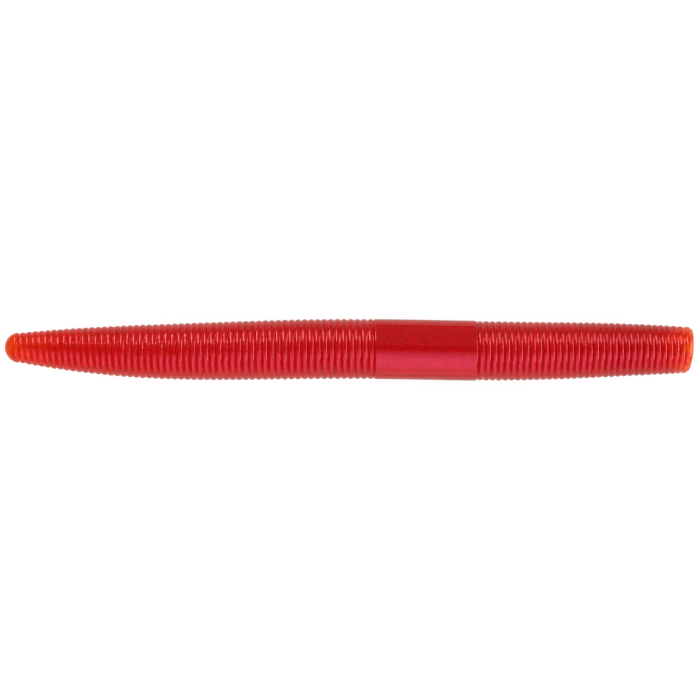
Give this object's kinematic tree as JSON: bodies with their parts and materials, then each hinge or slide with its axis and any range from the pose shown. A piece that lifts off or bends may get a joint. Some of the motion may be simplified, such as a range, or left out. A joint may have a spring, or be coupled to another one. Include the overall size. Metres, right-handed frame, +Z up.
{
  "type": "soft plastic worm",
  "caption": "Round soft plastic fishing worm, tapered to a thin tail, ringed end to end with a smooth band ahead of its middle; bends sideways and upwards at planes along its length.",
  "frame": {"origin": "on the surface that the worm rests on, under the middle of its length", "axes": "+X along the worm, towards the blunt head; +Y across it; +Z up"},
  "size_m": [0.127, 0.011, 0.0111],
  "materials": {
    "worm_plastic": "glossy translucent red soft plastic, orange at both ends, with fine pearl flecks"
  },
  "bodies": {
    "tail_tip": {"tail_tip": "worm_plastic"},
    "tail_rings_25": {"tail_rings_25": "worm_plastic"},
    "tail_rings_24": {"tail_rings_24": "worm_plastic"},
    "tail_rings_23": {"tail_rings_23": "worm_plastic"},
    "tail_rings_22": {"tail_rings_22": "worm_plastic"},
    "tail_rings_21": {"tail_rings_21": "worm_plastic"},
    "tail_rings_20": {"tail_rings_20": "worm_plastic"},
    "tail_rings_19": {"tail_rings_19": "worm_plastic"},
    "tail_rings_18": {"tail_rings_18": "worm_plastic"},
    "tail_rings_17": {"tail_rings_17": "worm_plastic"},
    "tail_rings_16": {"tail_rings_16": "worm_plastic"},
    "tail_rings_15": {"tail_rings_15": "worm_plastic"},
    "tail_rings_14": {"tail_rings_14": "worm_plastic"},
    "tail_rings_13": {"tail_rings_13": "worm_plastic"},
    "tail_rings_12": {"tail_rings_12": "worm_plastic"},
    "tail_rings_11": {"tail_rings_11": "worm_plastic"},
    "tail_rings_10": {"tail_rings_10": "worm_plastic"},
    "tail_rings_09": {"tail_rings_09": "worm_plastic"},
    "tail_rings_08": {"tail_rings_08": "worm_plastic"},
    "tail_rings_07": {"tail_rings_07": "worm_plastic"},
    "tail_rings_06": {"tail_rings_06": "worm_plastic"},
    "tail_rings_05": {"tail_rings_05": "worm_plastic"},
    "tail_rings_04": {"tail_rings_04": "worm_plastic"},
    "tail_rings_03": {"tail_rings_03": "worm_plastic"},
    "tail_rings_02": {"tail_rings_02": "worm_plastic"},
    "tail_rings_01": {"tail_rings_01": "worm_plastic"},
    "band_tail_half": {"band_tail_half": "worm_plastic"},
    "band_head_half": {"band_head_half": "worm_plastic"},
    "head_rings_01": {"head_rings_01": "worm_plastic"},
    "head_rings_02": {"head_rings_02": "worm_plastic"},
    "head_rings_03": {"head_rings_03": "worm_plastic"},
    "head_rings_04": {"head_rings_04": "worm_plastic"},
    "head_rings_05": {"head_rings_05": "worm_plastic"},
    "head_rings_06": {"head_rings_06": "worm_plastic"},
    "head_rings_07": {"head_rings_07": "worm_plastic"},
    "head_rings_08": {"head_rings_08": "worm_plastic"},
    "head_rings_09": {"head_rings_09": "worm_plastic"},
    "head_rings_10": {"head_rings_10": "worm_plastic"},
    "head_rings_11": {"head_rings_11": "worm_plastic"},
    "head_rings_12": {"head_rings_12": "worm_plastic"},
    "head_rings_13": {"head_rings_13": "worm_plastic"},
    "head_rings_14": {"head_rings_14": "worm_plastic"},
    "head_rings_15": {"head_rings_15": "worm_plastic"},
    "head_end": {"head_end": "worm_plastic"}
  },
  "joints": [
    {"name": "tail_bend_26", "type": "hinge", "parent": "tail_rings_25", "child": "tail_tip", "pos_m": [-0.05617, 0, 0.00555], "axis": [-0.001, 0, 1], "range_deg": [-9, 9], "stiffness_Nm_per_rad": 0.001},
    {"name": "tail_bend_25", "type": "hinge", "parent": "tail_rings_24", "child": "tail_rings_25", "pos_m": [-0.05385, 0, 0.00555], "axis": [0.001, 1, 0], "range_deg": [0, 9], "stiffness_Nm_per_rad": 0.0028},
    {"name": "tail_bend_24", "type": "hinge", "parent": "tail_rings_23", "child": "tail_rings_24", "pos_m": [-0.05153, 0, 0.00555], "axis": [-0.001, 0, 1], "range_deg": [-9, 9], "stiffness_Nm_per_rad": 0.0036},
    {"name": "tail_bend_23", "type": "hinge", "parent": "tail_rings_22", "child": "tail_rings_23", "pos_m": [-0.04919, 0, 0.00555], "axis": [0.001, 1, 0], "range_deg": [0, 9], "stiffness_Nm_per_rad": 0.0045},
    {"name": "tail_bend_22", "type": "hinge", "parent": "tail_rings_21", "child": "tail_rings_22", "pos_m": [-0.04686, 0, 0.00555], "axis": [-0.001, 0, 1], "range_deg": [-9, 9], "stiffness_Nm_per_rad": 0.0055},
    {"name": "tail_bend_21", "type": "hinge", "parent": "tail_rings_20", "child": "tail_rings_21", "pos_m": [-0.04452, 0, 0.00555], "axis": [0.001, 1, 0], "range_deg": [0, 9], "stiffness_Nm_per_rad": 0.0065},
    {"name": "tail_bend_20", "type": "hinge", "parent": "tail_rings_19", "child": "tail_rings_20", "pos_m": [-0.04217, 0, 0.00555], "axis": [-0.001, 0, 1], "range_deg": [-9, 9], "stiffness_Nm_per_rad": 0.0074},
    {"name": "tail_bend_19", "type": "hinge", "parent": "tail_rings_18", "child": "tail_rings_19", "pos_m": [-0.03982, 0, 0.00555], "axis": [0.001, 1, 0], "range_deg": [0, 9], "stiffness_Nm_per_rad": 0.0084},
    {"name": "tail_bend_18", "type": "hinge", "parent": "tail_rings_17", "child": "tail_rings_18", "pos_m": [-0.03746, 0, 0.00555], "axis": [-0.001, 0, 1], "range_deg": [-9, 9], "stiffness_Nm_per_rad": 0.0093},
    {"name": "tail_bend_17", "type": "hinge", "parent": "tail_rings_16", "child": "tail_rings_17", "pos_m": [-0.0351, 0, 0.00555], "axis": [0.001, 1, 0], "range_deg": [0, 9], "stiffness_Nm_per_rad": 0.0101},
    {"name": "tail_bend_16", "type": "hinge", "parent": "tail_rings_15", "child": "tail_rings_16", "pos_m": [-0.03273, 0, 0.00555], "axis": [-0.001, 0, 1], "range_deg": [-9, 9], "stiffness_Nm_per_rad": 0.0109},
    {"name": "tail_bend_15", "type": "hinge", "parent": "tail_rings_14", "child": "tail_rings_15", "pos_m": [-0.03035, 0, 0.00555], "axis": [0.001, 1, 0], "range_deg": [0, 9], "stiffness_Nm_per_rad": 0.0115},
    {"name": "tail_bend_14", "type": "hinge", "parent": "tail_rings_13", "child": "tail_rings_14", "pos_m": [-0.02797, 0, 0.00555], "axis": [-0.001, 0, 1], "range_deg": [-9, 9], "stiffness_Nm_per_rad": 0.0121},
    {"name": "tail_bend_13", "type": "hinge", "parent": "tail_rings_12", "child": "tail_rings_13", "pos_m": [-0.02559, 0, 0.00555], "axis": [0.001, 1, 0], "range_deg": [0, 9], "stiffness_Nm_per_rad": 0.0126},
    {"name": "tail_bend_12", "type": "hinge", "parent": "tail_rings_11", "child": "tail_rings_12", "pos_m": [-0.0232, 0, 0.00555], "axis": [-0.001, 0, 1], "range_deg": [-9, 9], "stiffness_Nm_per_rad": 0.0131},
    {"name": "tail_bend_11", "type": "hinge", "parent": "tail_rings_10", "child": "tail_rings_11", "pos_m": [-0.02081, 0, 0.00555], "axis": [0.001, 1, 0], "range_deg": [0, 9], "stiffness_Nm_per_rad": 0.0134},
    {"name": "tail_bend_10", "type": "hinge", "parent": "tail_rings_09", "child": "tail_rings_10", "pos_m": [-0.01841, 0, 0.00555], "axis": [-0.001, 0, 1], "range_deg": [-9, 9], "stiffness_Nm_per_rad": 0.0137},
    {"name": "tail_bend_09", "type": "hinge", "parent": "tail_rings_08", "child": "tail_rings_09", "pos_m": [-0.016, 0, 0.00555], "axis": [0.001, 1, 0], "range_deg": [0, 9], "stiffness_Nm_per_rad": 0.0139},
    {"name": "tail_bend_08", "type": "hinge", "parent": "tail_rings_07", "child": "tail_rings_08", "pos_m": [-0.01359, 0, 0.00555], "axis": [-0.001, 0, 1], "range_deg": [-9, 9], "stiffness_Nm_per_rad": 0.014},
    {"name": "tail_bend_07", "type": "hinge", "parent": "tail_rings_06", "child": "tail_rings_07", "pos_m": [-0.01118, 0, 0.00555], "axis": [0.001, 1, 0], "range_deg": [0, 9], "stiffness_Nm_per_rad": 0.0141},
    {"name": "tail_bend_06", "type": "hinge", "parent": "tail_rings_05", "child": "tail_rings_06", "pos_m": [-0.00876, 0, 0.00555], "axis": [-0.001, 0, 1], "range_deg": [-9, 9], "stiffness_Nm_per_rad": 0.0142},
    {"name": "tail_bend_05", "type": "hinge", "parent": "tail_rings_04", "child": "tail_rings_05", "pos_m": [-0.00633, 0, 0.00555], "axis": [0.001, 1, 0], "range_deg": [0, 9], "stiffness_Nm_per_rad": 0.0142},
    {"name": "tail_bend_04", "type": "hinge", "parent": "tail_rings_03", "child": "tail_rings_04", "pos_m": [-0.0039, 0, 0.00555], "axis": [-0.001, 0, 1], "range_deg": [-9, 9], "stiffness_Nm_per_rad": 0.0142},
    {"name": "tail_bend_03", "type": "hinge", "parent": "tail_rings_02", "child": "tail_rings_03", "pos_m": [-0.00146, 0, 0.00555], "axis": [0.001, 1, 0], "range_deg": [0, 9], "stiffness_Nm_per_rad": 0.0142},
    {"name": "tail_bend_02", "type": "hinge", "parent": "tail_rings_01", "child": "tail_rings_02", "pos_m": [0.00098, 0, 0.00555], "axis": [-0.001, 0, 1], "range_deg": [-9, 9], "stiffness_Nm_per_rad": 0.0142},
    {"name": "tail_bend_01", "type": "hinge", "parent": "band_tail_half", "child": "tail_rings_01", "pos_m": [0.00342, 0, 0.00555], "axis": [0.001, 1, 0], "range_deg": [0, 9], "stiffness_Nm_per_rad": 0.0053},
    {"name": "band_bend", "type": "hinge", "parent": "band_tail_half", "child": "band_head_half", "pos_m": [0.01413, 0, 0.00555], "axis": [-0.001, 0, -1], "range_deg": [-18, 18], "stiffness_Nm_per_rad": 0.0032},
    {"name": "head_bend_01", "type": "hinge", "parent": "band_head_half", "child": "head_rings_01", "pos_m": [0.02478, 0, 0.00555], "axis": [0.001, -1, 0], "range_deg": [0, 9], "stiffness_Nm_per_rad": 0.0051},
    {"name": "head_bend_02", "type": "hinge", "parent": "head_rings_01", "child": "head_rings_02", "pos_m": [0.02713, 0, 0.00555], "axis": [-0.001, 0, -1], "range_deg": [-9, 9], "stiffness_Nm_per_rad": 0.014},
    {"name": "head_bend_03", "type": "hinge", "parent": "head_rings_02", "child": "head_rings_03", "pos_m": [0.02947, 0, 0.00555], "axis": [0.001, -1, 0], "range_deg": [0, 9], "stiffness_Nm_per_rad": 0.0139},
    {"name": "head_bend_04", "type": "hinge", "parent": "head_rings_03", "child": "head_rings_04", "pos_m": [0.03181, 0, 0.00555], "axis": [-0.001, 0, -1], "range_deg": [-9, 9], "stiffness_Nm_per_rad": 0.0136},
    {"name": "head_bend_05", "type": "hinge", "parent": "head_rings_04", "child": "head_rings_05", "pos_m": [0.03414, 0, 0.00555], "axis": [0.001, -1, 0], "range_deg": [0, 9], "stiffness_Nm_per_rad": 0.0133},
    {"name": "head_bend_06", "type": "hinge", "parent": "head_rings_05", "child": "head_rings_06", "pos_m": [0.03647, 0, 0.00555], "axis": [-0.001, 0, -1], "range_deg": [-9, 9], "stiffness_Nm_per_rad": 0.0129},
    {"name": "head_bend_07", "type": "hinge", "parent": "head_rings_06", "child": "head_rings_07", "pos_m": [0.03878, 0, 0.00555], "axis": [0.001, -1, 0], "range_deg": [0, 9], "stiffness_Nm_per_rad": 0.0125},
    {"name": "head_bend_08", "type": "hinge", "parent": "head_rings_07", "child": "head_rings_08", "pos_m": [0.04109, 0, 0.00555], "axis": [-0.001, 0, -1], "range_deg": [-9, 9], "stiffness_Nm_per_rad": 0.0119},
    {"name": "head_bend_09", "type": "hinge", "parent": "head_rings_08", "child": "head_rings_09", "pos_m": [0.0434, 0, 0.00555], "axis": [0.001, -1, 0], "range_deg": [0, 9], "stiffness_Nm_per_rad": 0.0113},
    {"name": "head_bend_10", "type": "hinge", "parent": "head_rings_09", "child": "head_rings_10", "pos_m": [0.04569, 0, 0.00555], "axis": [-0.001, 0, -1], "range_deg": [-9, 9], "stiffness_Nm_per_rad": 0.0107},
    {"name": "head_bend_11", "type": "hinge", "parent": "head_rings_10", "child": "head_rings_11", "pos_m": [0.04798, 0, 0.00555], "axis": [0.001, -1, 0], "range_deg": [0, 9], "stiffness_Nm_per_rad": 0.01},
    {"name": "head_bend_12", "type": "hinge", "parent": "head_rings_11", "child": "head_rings_12", "pos_m": [0.05027, 0, 0.00555], "axis": [-0.001, 0, -1], "range_deg": [-9, 9], "stiffness_Nm_per_rad": 0.0093},
    {"name": "head_bend_13", "type": "hinge", "parent": "head_rings_12", "child": "head_rings_13", "pos_m": [0.05254, 0, 0.00555], "axis": [0.001, -1, 0], "range_deg": [0, 9], "stiffness_Nm_per_rad": 0.0086},
    {"name": "head_bend_14", "type": "hinge", "parent": "head_rings_13", "child": "head_rings_14", "pos_m": [0.05481, 0, 0.00555], "axis": [-0.001, 0, -1], "range_deg": [-9, 9], "stiffness_Nm_per_rad": 0.0078},
    {"name": "head_bend_15", "type": "hinge", "parent": "head_rings_14", "child": "head_rings_15", "pos_m": [0.05707, 0, 0.00555], "axis": [0.001, -1, 0], "range_deg": [0, 9], "stiffness_Nm_per_rad": 0.0071},
    {"name": "head_bend_16", "type": "hinge", "parent": "head_rings_15", "child": "head_end", "pos_m": [0.05933, 0, 0.00555], "axis": [-0.001, 0, -1], "range_deg": [-9, 9], "stiffness_Nm_per_rad": 0.0045}
  ]
}
